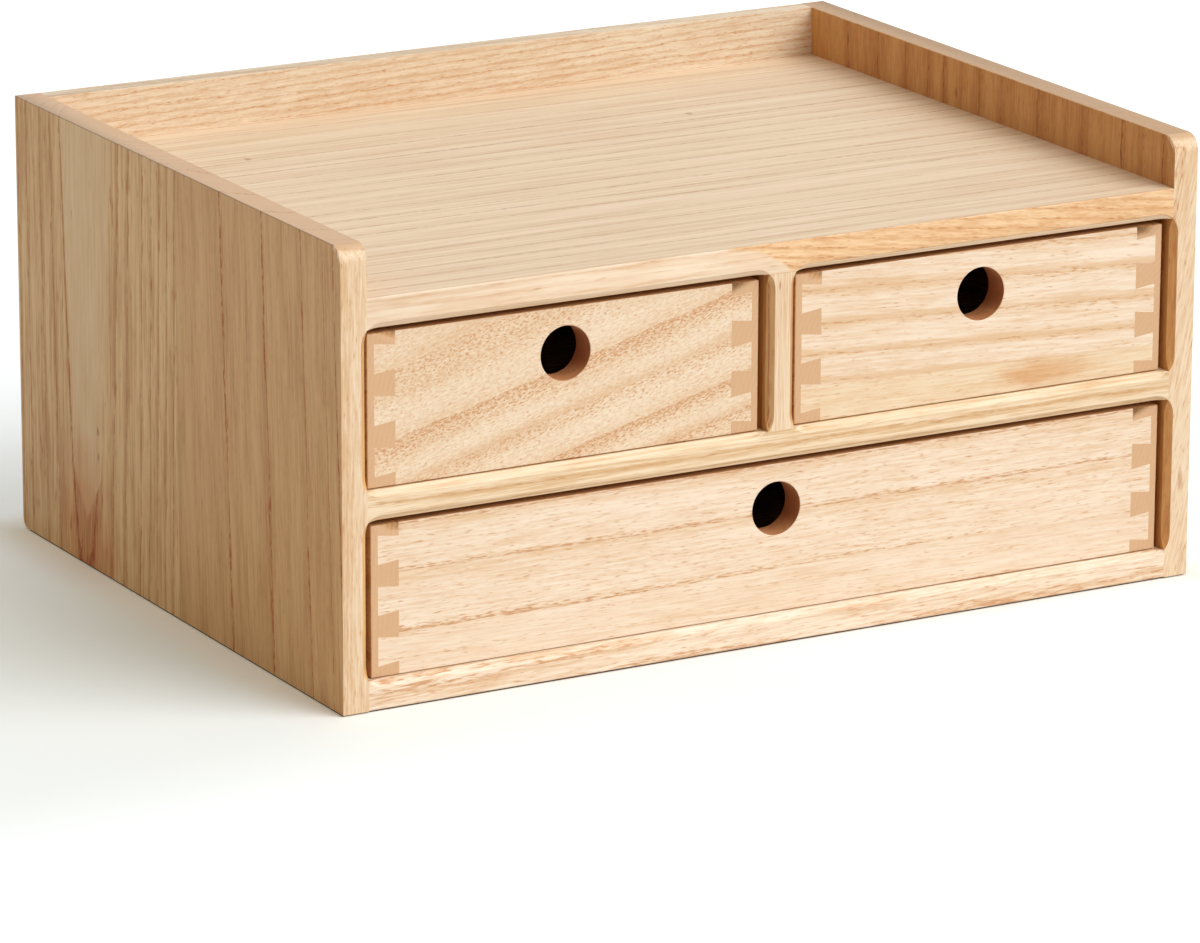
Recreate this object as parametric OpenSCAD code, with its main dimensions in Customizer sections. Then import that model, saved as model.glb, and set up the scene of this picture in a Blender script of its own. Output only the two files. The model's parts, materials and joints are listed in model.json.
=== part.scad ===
// Desktop mini drawers: a solid wood case with two small drawers over one wide drawer.
// Frame: origin at the centre of the footprint on the table, front towards -Y, up +Z, millimetres.

/* [Case] */
// Overall width, over both side panels
case_w = 400; // [300:1:560]
// Overall depth, front edge to back face
case_d = 300; // [200:1:400]
// Thickness of each side panel
side_t = 11.5; // [10:0.5:20]
// Thickness of the back panel
back_t = 9.5; // [8:0.5:16]
// Thickness of the base panel
base_t = 12; // [10:0.5:20]
// Thickness of the shelf between the two rows of drawers
shelf_t = 12.5; // [11:0.5:20]
// Thickness of the top panel
top_t = 13; // [11:0.5:20]
// Thickness of the divider between the two small drawers
divider_t = 12.5; // [10:0.5:20]
// Height of the opening for the wide drawer
lower_bay_h = 65.5; // [50:0.5:110]
// Height of the openings for the two small drawers
upper_bay_h = 65.5; // [50:0.5:110]
// How far the sides and the back rise above the top panel
rim_h = 21.5; // [12:0.5:45]
// Radius of the front top corner of each side panel
corner_r = 7; // [2:0.5:11]
// Radius of the back bottom corner of each side panel
heel_r = 4.5; // [1:0.5:8]

/* [Chamfered openings] */
// Width of the chamfer round each drawer opening
chamfer = 2.7; // [1:0.1:4]
// Radius of the guide bearing, which keeps the cutter out of the corners
bearing_r = 6.3; // [3:0.1:9]

/* [Drawers] */
// How far the drawer fronts stand back from the front of the case
setback = 3.5; // [0:0.5:8]
// Clearance on each side of the wide drawer
wide_side_gap = 2.75; // [0.5:0.25:4]
// Clearance on each side of a small drawer in the middle of its opening
small_side_gap = 2.3; // [1:0.1:4]
// How far the small drawers stand to the left of the middle of their openings
small_shift = 0.75; // [0:0.05:0.9]
// Clearance above a drawer
head_gap = 2.4; // [0.5:0.1:5]
// Running clearance under a drawer
run_gap = 0.3; // [0.2:0.1:1]
// Clearance between a closed drawer and the back panel
stop_gap = 0.5; // [0.3:0.1:10]
// Thickness of a drawer's front
front_t = 12; // [9:0.5:18]
// Thickness of a drawer's sides
wall_t = 12.5; // [10:0.5:18]
// Thickness of a drawer's back
rear_t = 12; // [9:0.5:18]

/* [Dovetails] */
// Number of tails at each end of a drawer's front and back
tail_count = 3; // [2:1:4]
// Width of a tail at its root, as a share of the tail spacing
tail_share = 0.47; // [0.4:0.01:0.55]
// Length of a tail, which is how far it reaches into the drawer's side
tail_len = 9.3; // [5:0.1:9.5]
// Slope of a tail's flanks, sideways travel for each millimetre of length
tail_slope = 0.125; // [0.05:0.005:0.17]

/* [Drawer floor] */
// Thickness of the drawer's floor
floor_t = 3; // [2:0.5:4]
// Depth of the grooves that hold the floor
groove_depth = 5; // [3:0.5:6]
// Clearance over the floor in its groove
groove_fit = 0.1; // [0.05:0.05:0.3]
// Room between the floor's edge and the bottom of its groove
groove_room = 0.5; // [0.2:0.1:1]
// Height of the groove above the lowest tail's lower root corner
groove_rise = 0.8; // [0.4:0.1:2]

/* [Finger hole] */
// Diameter of the finger hole
hole_d = 22.5; // [16:0.5:28]
// Distance from the top edge of the front down to the hole's centre
hole_drop = 19; // [16:0.5:24]

/* [Dowels] */
// Diameter of the dowels
dowel_d = 6; // [4:0.5:7]
// Radial glue clearance round a dowel
dowel_fit = 0.05; // [0.02:0.01:0.15]
// Depth of a dowel in the board whose face it enters
dowel_face = 7; // [5:0.5:8]
// Depth of a dowel in the board whose end it enters
dowel_end = 17; // [10:1:25]
// Room for glue at each end of a dowel
dowel_room = 1; // [0.5:0.1:1.5]
// Number of dowels along each joint
dowel_count = 3; // [2:1:5]
// Distance from the end of a joint to its first dowel
dowel_inset = 35; // [20:1:60]

/* [Hidden] */

// Curves finer than any facet limit, so that every arc is a true one.
$fn = 96;
// How far a cutter runs past the surface that it cuts.
over = 1;

// Colours
side_color = [0.78, 0.62, 0.44];
board_color = [0.93, 0.80, 0.62];
front_color = [0.94, 0.79, 0.60];
wall_color = [0.83, 0.66, 0.48];
floor_color = [0.90, 0.78, 0.60];
dowel_color = [0.87, 0.74, 0.55];

// Case: the sides stand outside, the other boards stand between them.
inner_w = case_w - 2 * side_t;
inner_d = case_d - back_t;
front_y = -case_d / 2;
inner_back_y = front_y + inner_d;
lower_bay_z = base_t;
shelf_z = lower_bay_z + lower_bay_h;
upper_bay_z = shelf_z + shelf_t;
top_z = upper_bay_z + upper_bay_h;
tray_z = top_z + top_t;
case_h = tray_z + rim_h;
small_bay_w = (inner_w - divider_t) / 2;
small_bay_x = (divider_t + small_bay_w) / 2;

// Drawers: sizes follow the bays and their clearances.
small_drawer_w = small_bay_w - 2 * small_side_gap;
wide_drawer_w = inner_w - 2 * wide_side_gap;
small_drawer_h = upper_bay_h - head_gap - run_gap;
wide_drawer_h = lower_bay_h - head_gap - run_gap;
drawer_d = inner_d - setback - stop_gap;
drawer_front_y = front_y + setback;

// Bits of the drawer joint that depend on a drawer's height h.
function tail_pitch(h) = h / tail_count;
function tail_root(h) = tail_share * tail_pitch(h);
function tail_z(h, i) = (i + 0.5) * tail_pitch(h);
function groove_z(h) = (tail_pitch(h) - tail_root(h)) / 2 + groove_rise;

// Places of the dowels along a joint of a given length, measured from its middle.
function dowel_places(length) = [
    for (i = [0 : dowel_count - 1]) (length - 2 * dowel_inset) * (i / (dowel_count - 1) - 0.5)
];

// ---- Chamfered openings ------------------------------------------------------------------

// Section of the chamfer cutter: everything from its axis out to the slanting edge.
module cutter_section() {
    polygon([[0, -over], [bearing_r + chamfer + over, -over], [bearing_r, chamfer], [0, chamfer]]);
}

// Straight cut along an opening's edge. The edge runs along X, and the board lies below it.
module straight_cut(length) {
    translate([-length / 2, 0, bearing_r]) rotate([90, 0, 90]) linear_extrude(length)
        rotate(-90) cutter_section();
}

// Cut in an opening's lower left corner, where the cutter turns about its own axis.
module corner_cut() {
    rotate([-90, 0, 0]) rotate([0, 0, 90]) rotate_extrude(angle = 90) cutter_section();
}

// The whole cut round an opening w wide and h high, centred on the axis at its lower edge.
module opening_chamfer(w, h) {
    run_w = w - 2 * bearing_r;
    run_h = h - 2 * bearing_r;
    translate([0, front_y, h / 2]) {
        for (m = [0, 1]) mirror([0, 0, m]) {
            translate([0, 0, -h / 2]) straight_cut(run_w);
            for (n = [0, 1]) mirror([n, 0, 0])
                translate([-run_w / 2, 0, -run_h / 2]) corner_cut();
        }
        for (n = [0, 1]) mirror([n, 0, 0])
            rotate([0, 90, 0]) translate([0, 0, -w / 2]) straight_cut(run_h);
    }
}

// The chamfer cuts of all three openings, taken from every board that they cross.
module all_chamfers() {
    translate([0, 0, lower_bay_z]) opening_chamfer(inner_w, lower_bay_h);
    for (side = [-1, 1])
        translate([side * small_bay_x, 0, upper_bay_z]) opening_chamfer(small_bay_w, upper_bay_h);
}

// ---- Dowels ------------------------------------------------------------------------------

// A dowel along X whose joint face is at the origin: its face end points along -X.
module dowel() {
    translate([-dowel_face, 0, 0]) rotate([0, 90, 0]) cylinder(d = dowel_d, h = dowel_face + dowel_end);
}

// The bore that a dowel sits in, with glue room all round.
module dowel_bore() {
    bore_length = dowel_face + dowel_end + 2 * dowel_room;
    translate([-dowel_face - dowel_room, 0, 0]) rotate([0, 90, 0])
        cylinder(d = dowel_d + 2 * dowel_fit, h = bore_length);
}

// Children repeated along the joints between the left side panel and the boards that meet it.
module at_left_joints() {
    translate([-inner_w / 2, 0, 0]) {
        for (z = [base_t / 2, shelf_z + shelf_t / 2, top_z + top_t / 2])
            for (y = dowel_places(inner_d)) translate([0, y - back_t / 2, z]) children();
        for (z = dowel_places(case_h)) translate([0, (case_d - back_t) / 2, z + case_h / 2]) children();
    }
}

// Children repeated along the joints above and below the divider.
module at_divider_joints() {
    for (y = dowel_places(inner_d)) translate([0, y - back_t / 2, 0]) {
        translate([0, 0, upper_bay_z]) rotate([0, -90, 0]) children();
        translate([0, 0, top_z]) rotate([0, 90, 0]) children();
    }
}

// Bores of every side joint, on both sides of the case.
module side_bores() {
    for (n = [0, 1]) mirror([n, 0, 0]) at_left_joints() dowel_bore();
}

module left_dowels() {
    color(dowel_color) at_left_joints() dowel();
}

module right_dowels() {
    color(dowel_color) mirror([1, 0, 0]) at_left_joints() dowel();
}

module divider_dowels() {
    color(dowel_color) at_divider_joints() dowel();
}

// ---- Case --------------------------------------------------------------------------------

// What a rounded corner of radius r takes away, for a corner at the origin of a board that lies
// towards +X and -Y of it.
module corner_waste(r) {
    translate([0, -r]) difference() {
        translate([-over, 0]) square([r + over, r + over]);
        translate([r, 0]) circle(r);
    }
}

// Outline of a side panel in Y and Z, with its front top and back bottom corners rounded.
module side_outline() {
    difference() {
        translate([front_y, 0]) square([case_d, case_h]);
        translate([front_y, case_h]) corner_waste(corner_r);
        translate([-front_y, 0]) rotate(180) corner_waste(heel_r);
    }
}

module side_panel() {
    difference() {
        translate([-case_w / 2, 0, 0]) rotate([90, 0, 90]) linear_extrude(side_t) side_outline();
        all_chamfers();
        at_left_joints() dowel_bore();
    }
}

module left_side() {
    color(side_color) side_panel();
}

module right_side() {
    color(side_color) mirror([1, 0, 0]) side_panel();
}

// A board that spans the case between its sides, from the front to the back panel.
module spanning_board(z, t) {
    translate([-inner_w / 2, front_y, z]) cube([inner_w, inner_d, t]);
}

module top_panel() {
    color(board_color) difference() {
        spanning_board(top_z, top_t);
        all_chamfers();
        side_bores();
        at_divider_joints() dowel_bore();
    }
}

module shelf() {
    color(board_color) difference() {
        spanning_board(shelf_z, shelf_t);
        all_chamfers();
        side_bores();
        at_divider_joints() dowel_bore();
    }
}

module base_panel() {
    color(board_color) difference() {
        spanning_board(0, base_t);
        all_chamfers();
        side_bores();
    }
}

module divider() {
    color(board_color) difference() {
        translate([-divider_t / 2, front_y, upper_bay_z]) cube([divider_t, inner_d, upper_bay_h]);
        all_chamfers();
        at_divider_joints() dowel_bore();
    }
}

module back_panel() {
    color(board_color) difference() {
        translate([-inner_w / 2, inner_back_y, 0]) cube([inner_w, back_t, case_h]);
        side_bores();
    }
}

// ---- Drawers -----------------------------------------------------------------------------
// Each drawer piece is drawn about its drawer's own origin: the middle of its lower front edge,
// with the drawer running back along +Y. w and h are the drawer's width and height.

// The tails at the left end of a front or back of thickness t, for a drawer w wide and h high.
module tails(w, h, t) {
    root = tail_root(h) / 2;
    tip = root + tail_len * tail_slope;
    for (i = [0 : tail_count - 1])
        translate([-w / 2 + wall_t, t, tail_z(h, i)]) rotate([90, 0, 0]) linear_extrude(t)
            polygon([[over, -root], [0, -root], [-tail_len, -tip], [-tail_len, tip], [0, root], [over, root]]);
}

// A cross board, front or back, with tails at both ends.
module tailed_board(w, h, t) {
    translate([-w / 2 + wall_t, 0, 0]) cube([w - 2 * wall_t, t, h]);
    for (n = [0, 1]) mirror([n, 0, 0]) tails(w, h, t);
}

// The space that the floor's groove takes, out to the bottom of the groove on every side.
module floor_groove(w, h) {
    reach = wall_t - groove_depth;
    y = front_t - groove_depth;
    translate([-w / 2 + reach, y, groove_z(h)])
        cube([w - 2 * reach, drawer_d - y - rear_t + groove_depth, floor_t + groove_fit]);
}

module drawer_front(w, h) {
    color(front_color) difference() {
        tailed_board(w, h, front_t);
        floor_groove(w, h);
        translate([0, -over, h - hole_drop]) rotate([-90, 0, 0]) cylinder(d = hole_d, h = front_t + 2 * over);
    }
}

module drawer_left_side(w, h) {
    color(wall_color) difference() {
        translate([-w / 2, 0, 0]) cube([wall_t, drawer_d, h]);
        tails(w, h, front_t);
        translate([0, drawer_d - rear_t, 0]) tails(w, h, rear_t);
        floor_groove(w, h);
    }
}

module drawer_right_side(w, h) {
    mirror([1, 0, 0]) drawer_left_side(w, h);
}

module drawer_back(w, h) {
    color(wall_color) difference() {
        translate([0, drawer_d - rear_t, 0]) tailed_board(w, h, rear_t);
        floor_groove(w, h);
    }
}

module drawer_floor(w, h) {
    reach = wall_t - groove_depth + groove_room;
    y = front_t - groove_depth + groove_room;
    color(floor_color) translate([-w / 2 + reach, y, groove_z(h)])
        cube([w - 2 * reach, drawer_d - y - rear_t + groove_depth - groove_room, floor_t]);
}

// Places of the three drawers in the case.
module at_small_drawer(side) {
    translate([side * small_bay_x - small_shift, drawer_front_y, upper_bay_z + run_gap]) children();
}

module at_wide_drawer() {
    translate([0, drawer_front_y, lower_bay_z + run_gap]) children();
}

module left_drawer_front() {
    at_small_drawer(-1) drawer_front(small_drawer_w, small_drawer_h);
}

module left_drawer_left_side() {
    at_small_drawer(-1) drawer_left_side(small_drawer_w, small_drawer_h);
}

module left_drawer_right_side() {
    at_small_drawer(-1) drawer_right_side(small_drawer_w, small_drawer_h);
}

module left_drawer_back() {
    at_small_drawer(-1) drawer_back(small_drawer_w, small_drawer_h);
}

module left_drawer_floor() {
    at_small_drawer(-1) drawer_floor(small_drawer_w, small_drawer_h);
}

module right_drawer_front() {
    at_small_drawer(1) drawer_front(small_drawer_w, small_drawer_h);
}

module right_drawer_left_side() {
    at_small_drawer(1) drawer_left_side(small_drawer_w, small_drawer_h);
}

module right_drawer_right_side() {
    at_small_drawer(1) drawer_right_side(small_drawer_w, small_drawer_h);
}

module right_drawer_back() {
    at_small_drawer(1) drawer_back(small_drawer_w, small_drawer_h);
}

module right_drawer_floor() {
    at_small_drawer(1) drawer_floor(small_drawer_w, small_drawer_h);
}

module wide_drawer_front() {
    at_wide_drawer() drawer_front(wide_drawer_w, wide_drawer_h);
}

module wide_drawer_left_side() {
    at_wide_drawer() drawer_left_side(wide_drawer_w, wide_drawer_h);
}

module wide_drawer_right_side() {
    at_wide_drawer() drawer_right_side(wide_drawer_w, wide_drawer_h);
}

module wide_drawer_back() {
    at_wide_drawer() drawer_back(wide_drawer_w, wide_drawer_h);
}

module wide_drawer_floor() {
    at_wide_drawer() drawer_floor(wide_drawer_w, wide_drawer_h);
}

left_side();
right_side();
top_panel();
shelf();
base_panel();
divider();
back_panel();
left_dowels();
right_dowels();
divider_dowels();
left_drawer_front();
left_drawer_left_side();
left_drawer_right_side();
left_drawer_back();
left_drawer_floor();
right_drawer_front();
right_drawer_left_side();
right_drawer_right_side();
right_drawer_back();
right_drawer_floor();
wide_drawer_front();
wide_drawer_left_side();
wide_drawer_right_side();
wide_drawer_back();
wide_drawer_floor();
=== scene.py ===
"""Looks of the desktop mini drawers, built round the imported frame.

A solid wood case holds two small drawers over one wide drawer. Every board gets eased edges and
the grain of the log that it was sawn from. Lengths are in metres unless a name ends in _mm.
"""

import json
import logging
import math
from dataclasses import dataclass, field
from enum import Enum
from functools import cached_property

import bmesh
import bpy
from mathutils import Matrix, Vector

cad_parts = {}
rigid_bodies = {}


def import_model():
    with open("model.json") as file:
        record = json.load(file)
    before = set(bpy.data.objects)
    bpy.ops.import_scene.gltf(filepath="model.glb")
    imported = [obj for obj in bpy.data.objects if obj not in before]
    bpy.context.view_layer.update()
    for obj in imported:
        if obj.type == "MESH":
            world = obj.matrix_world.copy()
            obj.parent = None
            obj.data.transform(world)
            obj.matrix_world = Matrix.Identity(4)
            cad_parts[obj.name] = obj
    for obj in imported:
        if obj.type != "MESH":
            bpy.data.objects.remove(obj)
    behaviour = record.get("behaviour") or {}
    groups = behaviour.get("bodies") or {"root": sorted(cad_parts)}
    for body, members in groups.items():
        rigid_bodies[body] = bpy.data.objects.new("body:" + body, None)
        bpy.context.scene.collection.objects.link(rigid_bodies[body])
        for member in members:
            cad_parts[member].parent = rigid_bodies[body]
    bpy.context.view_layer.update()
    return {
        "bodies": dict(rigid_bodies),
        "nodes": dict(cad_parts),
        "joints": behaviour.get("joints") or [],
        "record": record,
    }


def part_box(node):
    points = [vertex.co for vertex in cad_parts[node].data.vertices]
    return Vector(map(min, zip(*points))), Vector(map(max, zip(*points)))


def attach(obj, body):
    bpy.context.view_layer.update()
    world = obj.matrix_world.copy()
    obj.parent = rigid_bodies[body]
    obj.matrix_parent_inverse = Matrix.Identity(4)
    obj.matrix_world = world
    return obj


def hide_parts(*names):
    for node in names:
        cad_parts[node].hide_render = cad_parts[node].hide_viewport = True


log = logging.getLogger("mini_drawers")

MM = 0.001
TOUCH = 1e-6
ON_PLANE = 20 * TOUCH
FAR = 1.0

Triple = tuple[float, float, float]
Colour = tuple[int, int, int]
Socket = bpy.types.NodeSocket
Feed = Socket | float | tuple[float, ...] | Vector


class Axis(Enum):
    """The three directions of the shared frame."""

    X = 0
    Y = 1
    Z = 2

    @property
    def way(self) -> Vector:
        """The unit vector along this axis."""
        return Vector([float(self.value == i) for i in range(3)])


class Slot(Enum):
    """The record's material slots."""

    CASE_SIDE = "case_side_wood"
    CASE_BOARD = "case_board_wood"
    DRAWER_FRONT = "drawer_front_wood"
    DRAWER_SIDE = "drawer_side_wood"
    DRAWER_FLOOR = "drawer_floor_plywood"


class SocketKind(Enum):
    """The kinds of socket, numbered as the Mix node's own are."""

    FLOAT = 0
    VECTOR = 1
    RGBA = 2

    @property
    def group_socket(self) -> str:
        """The type name of a node group's socket of this kind."""
        return f"NodeSocket{'Color' if self is SocketKind.RGBA else self.name.title()}"


def srgb(red: int, green: int, blue: int) -> tuple[float, float, float, float]:
    """Turns a screen colour into the linear colour that a shader takes.

    Args:
        red: Red from 0 to 255.
        green: Green from 0 to 255.
        blue: Blue from 0 to 255.

    Returns:
        The linear red, green, blue and a full alpha.
    """
    parts = [part / 255 for part in (red, green, blue)]
    linear = [part / 12.92 if part <= 0.04045 else ((part + 0.055) / 1.055) ** 2.4 for part in parts]
    return (*linear, 1.0)


def stand(name: str, data: bpy.types.ID) -> bpy.types.Object:
    """Puts a new object into the scene.

    Args:
        name: The object's name.
        data: Its mesh, lamp or camera.

    Returns:
        The object.
    """
    made = bpy.data.objects.new(name, data)
    bpy.context.scene.collection.objects.link(made)
    return made


# ---- Nodes ---------------------------------------------------------------------------------


class NodeSheet:
    """A node tree that is written one node at a time."""

    def __init__(self, tree: bpy.types.NodeTree) -> None:
        """Keeps the tree that the nodes go into."""
        self.tree = tree

    @classmethod
    def of(cls, made: bpy.types.Material | bpy.types.World) -> "NodeSheet":
        """Opens the sheet of a new material or world."""
        made.use_nodes = True
        return cls(made.node_tree)

    def node(
        self, kind: str, feeds: dict[str | int, Feed] | None = None, **settings: object
    ) -> bpy.types.Node:
        """Adds a node.

        Args:
            kind: The node's type name.
            feeds: What goes into its inputs, by the input's name or number.
            settings: The node's own properties.

        Returns:
            The new node.
        """
        made = self.tree.nodes.new(kind)
        for name, value in settings.items():
            setattr(made, name, value)
        for key, value in (feeds or {}).items():
            self.feed(made.inputs[key], value)
        return made

    def feed(self, entry: Socket, value: Feed) -> None:
        """Links a socket to an input, or sets the input's own value.

        Args:
            entry: The input.
            value: The socket or the value.
        """
        if isinstance(value, Socket):
            self.tree.links.new(value, entry)
        else:
            entry.default_value = value

    def dress(self, shader: str, feeds: dict[str, Feed]) -> None:
        """Feeds the inputs of a shader that the tree came with.

        Args:
            shader: The shader's name.
            feeds: What goes into its inputs, by the input's name.
        """
        for name, value in feeds.items():
            self.feed(self.tree.nodes[shader].inputs[name], value)

    def math(self, operation: str, a: Feed, b: Feed = 0.0, c: Feed = 0.0) -> Socket:
        """Works out one sum.

        Args:
            operation: The Math node's operation.
            a: First value.
            b: Second value.
            c: Third value, which only some operations read.

        Returns:
            The result's socket.
        """
        return self.node("ShaderNodeMath", {0: a, 1: b, 2: c}, operation=operation).outputs[0]

    def vector(self, operation: str, a: Feed, b: Feed = (0.0, 0.0, 0.0)) -> Socket:
        """Works out one sum with vectors.

        Args:
            operation: The Vector Math node's operation.
            a: First vector.
            b: Second vector, which only some operations read.

        Returns:
            The result's socket: a number for a length or a dot product, otherwise a vector.
        """
        made = self.node("ShaderNodeVectorMath", {0: a, 1: b}, operation=operation)
        return made.outputs["Value" if operation in ("LENGTH", "DOT_PRODUCT") else "Vector"]

    def ramp(self, value: Feed, low: Feed, high: Feed, start: Feed = 0.0, end: Feed = 1.0) -> Socket:
        """Turns a range of values into another with a smooth step.

        Args:
            value: The value to turn.
            low: Where the step begins.
            high: Where the step ends.
            start: The result up to low.
            end: The result from high on.

        Returns:
            The result's socket.
        """
        feeds = {"Value": value, "From Min": low, "From Max": high, "To Min": start, "To Max": end}
        return self.node("ShaderNodeMapRange", feeds, interpolation_type="SMOOTHSTEP").outputs[0]

    def noise(self, place: Feed, scale: Feed, detail: float = 1.0, seed: Feed = 0.0) -> Socket:
        """Adds smooth noise from 0 to 1.

        Args:
            place: Where to read it.
            scale: How fine it is along each axis.
            detail: How many finer layers it has.
            seed: Which noise it is.

        Returns:
            The noise's socket.
        """
        scaled = self.vector("MULTIPLY", place, scale)
        feeds = {"Vector": scaled, "W": seed, "Scale": 1.0, "Detail": detail, "Roughness": 0.55}
        return self.node("ShaderNodeTexNoise", feeds, noise_dimensions="4D").outputs[0]

    def mix(self, kind: SocketKind, share: Feed, first: Feed, second: Feed, how: str = "MIX") -> Socket:
        """Mixes two values of one kind.

        Args:
            kind: What kind they are.
            share: How much of the second one shows.
            first: The value at 0.
            second: The value at 1.
            how: The Mix node's blend type, which only colours read.

        Returns:
            The mixed value's socket.
        """
        made = self.node("ShaderNodeMix", {"Factor": share}, data_type=kind.name, blend_type=how)
        pair = 2 + 2 * kind.value
        self.feed(made.inputs[pair], first)
        self.feed(made.inputs[pair + 1], second)
        return made.outputs[kind.value]

    def blend(self, share: Feed, first: Feed, second: Feed, how: str = "MIX") -> Socket:
        """Mixes two colours; share is how much of the second one shows."""
        return self.mix(SocketKind.RGBA, share, first, second, how)

    @cached_property
    def where(self) -> Socket:
        """Each point's place on its piece."""
        return self.node("ShaderNodeTexCoord").outputs["Object"]

    def seen_directly(self) -> Socket:
        """Says whether a ray comes from the camera, a gloss or a glass.

        Returns:
            The socket, which is 1 for such a ray and 0 for a ray that only brings light.
        """
        path = self.node("ShaderNodeLightPath").outputs
        seen = self.math("ADD", path["Is Camera Ray"], path["Is Glossy Ray"])
        return self.math("MINIMUM", self.math("ADD", seen, path["Is Transmission Ray"]), 1.0)


class NodeGroup(NodeSheet):
    """A shared node group: an effect that is built once and used by several materials."""

    name: str = ""
    takes: dict[str, SocketKind] = {}
    gives: dict[str, SocketKind] = {}

    @classmethod
    def shared(cls) -> bpy.types.NodeTree:
        """Finds the group's tree, or builds it the first time."""
        return bpy.data.node_groups.get(cls.name) or cls.build()

    @classmethod
    def build(cls) -> bpy.types.NodeTree:
        """Makes the group's sockets and fills it.

        Returns:
            The finished tree.
        """
        tree = bpy.data.node_groups.new(cls.name, "ShaderNodeTree")
        for way, sockets in (("INPUT", cls.takes), ("OUTPUT", cls.gives)):
            for name, kind in sockets.items():
                tree.interface.new_socket(name, in_out=way, socket_type=kind.group_socket)
        group = cls(tree)
        given = group.node("NodeGroupOutput").inputs
        for name, value in group.fill().items():
            group.feed(given[name], value)
        return tree

    @cached_property
    def taken(self) -> bpy.types.NodeOutputs:
        """The group's inputs, as sockets that its nodes read."""
        return self.node("NodeGroupInput").outputs

    def fill(self) -> dict[str, Socket]:
        """Writes the group's nodes and returns what each output shows."""
        raise NotImplementedError


class GrainGroup(NodeGroup):
    """Grain of a ring-porous wood: rings with a porous band, pores, fibres and end grain.

    The scales of its noises are per millimetre, first along the fibres and then across them.
    """

    name = "ring_porous_grain"
    takes = {
        **dict.fromkeys(("Place", "Pore Scale", "Fibre Scale"), SocketKind.VECTOR),
        **dict.fromkeys(("Pale", "Warm", "Dark", "End Colour"), SocketKind.RGBA),
        **dict.fromkeys((
            "Rings", "End", "Seed", "Jitter", "Spread", "Band", "Band Pores", "Loose Pores",
            "Line", "Line Width", "Fleck", "Fibre", "Cloud", "Late"), SocketKind.FLOAT),
    }
    gives = {"Color": SocketKind.RGBA, "Roughness": SocketKind.FLOAT, "Height": SocketKind.FLOAT}

    MIDDLE = 0.5
    CLOUD_SCALE = (0.012, 0.11, 0.11)
    RAGGED_SCALE = (0.07, 0.8, 0.8)
    SWAY_SCALE = (0.012, 0.03, 0.03)
    GAP_SCALE = (0.25, 0.5, 0.5)
    GAP_EDGE = (0.32, 0.6)
    LATE_FROM = 0.7
    REST_TONE = 0.35
    TONE_EDGE = (-0.1, 1.1)
    END_COVER = 0.85
    END_FADE = -0.5
    PORE_EDGE = 0.72
    PORE_GAIN = -0.3
    PORE_SOFT = 0.2
    PORE_COVER = 0.85
    FLECK_EDGE = (0.46, 0.7)
    LOOSE_FLECKS = 0.3
    PORE_DEPTH = -0.8
    FLECK_DEPTH = -0.3
    FIBRE_HEIGHT = 0.35
    ROUGHNESS = 0.44
    PORE_ROUGHNESS = 0.16
    FIBRE_ROUGHNESS = 0.12

    def fill(self) -> dict[str, Socket]:
        """Writes the rings, then the pores, then the fibres, and mixes their colours.

        Returns:
            The colour, the roughness and the height.
        """
        ring, strength = self.rings()
        part = self.math("FRACT", ring)
        band = self.math("MULTIPLY", self.ramp(part, 0.0, self.taken["Band"], 1.0, 0.0), strength)
        late = self.math("MULTIPLY", self.ramp(part, self.LATE_FROM, 1.0), strength)
        pores, flecks = self.pores(band)
        line = self.line(part, strength)
        fibre = self.along(self.taken["Fibre Scale"], 3.0)
        cloud = self.along(self.CLOUD_SCALE, 2.0)
        tone = self.sway(fibre, self.taken["Fibre"], self.REST_TONE)
        tone = self.sway(cloud, self.taken["Cloud"], tone)
        tone = self.math("MULTIPLY_ADD", self.math("MAXIMUM", late, band), self.taken["Late"], tone)
        tone = self.math("MULTIPLY_ADD", flecks, self.taken["Fleck"], tone)
        base = self.blend(self.ramp(tone, *self.TONE_EDGE), self.taken["Pale"], self.taken["Warm"])
        end = self.math("MULTIPLY", self.taken["End"], self.END_COVER)
        base = self.blend(end, base, self.taken["End Colour"])
        dark = self.math("MAXIMUM", pores, line)
        dark = self.math("MULTIPLY", dark, self.math("MULTIPLY_ADD", self.taken["End"], self.END_FADE, 1.0))
        relief = self.math("MULTIPLY", fibre, self.FIBRE_HEIGHT)
        relief = self.math("MULTIPLY_ADD", dark, self.PORE_DEPTH, relief)
        rough = self.math("MULTIPLY_ADD", fibre, self.FIBRE_ROUGHNESS, self.ROUGHNESS)
        return {
            "Color": self.blend(dark, base, self.taken["Dark"]),
            "Roughness": self.math("MULTIPLY_ADD", dark, self.PORE_ROUGHNESS, rough),
            "Height": self.math("MULTIPLY_ADD", flecks, self.FLECK_DEPTH, relief),
        }

    def along(self, scale: Feed, detail: float) -> Socket:
        """Adds noise that runs along the log's fibres."""
        return self.noise(self.taken["Place"], scale, detail, self.taken["Seed"])

    def sway(self, noise: Socket, much: Feed, base: Feed) -> Socket:
        """Adds a share of a noise, counted from its middle, to a value."""
        return self.math("MULTIPLY_ADD", self.math("SUBTRACT", noise, self.MIDDLE), much, base)

    def rings(self) -> tuple[Socket, Socket]:
        """Makes the ring count ragged along the fibres.

        Returns:
            The ragged ring count, and how strong each ring is.
        """
        ragged = self.along(self.RAGGED_SCALE, 2.0)
        sway = self.along(self.SWAY_SCALE, 1.0)
        off = self.sway(ragged, 1.0, self.math("SUBTRACT", sway, self.MIDDLE))
        ring = self.math("MULTIPLY_ADD", off, self.taken["Jitter"], self.taken["Rings"])
        whole = self.math("ADD", self.math("FLOOR", ring), self.taken["Seed"])
        chance = self.node("ShaderNodeTexWhiteNoise", {"W": whole}, noise_dimensions="1D").outputs[0]
        less = self.math("MULTIPLY", chance, self.taken["Spread"])
        return ring, self.math("SUBTRACT", 1.0, less)

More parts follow.
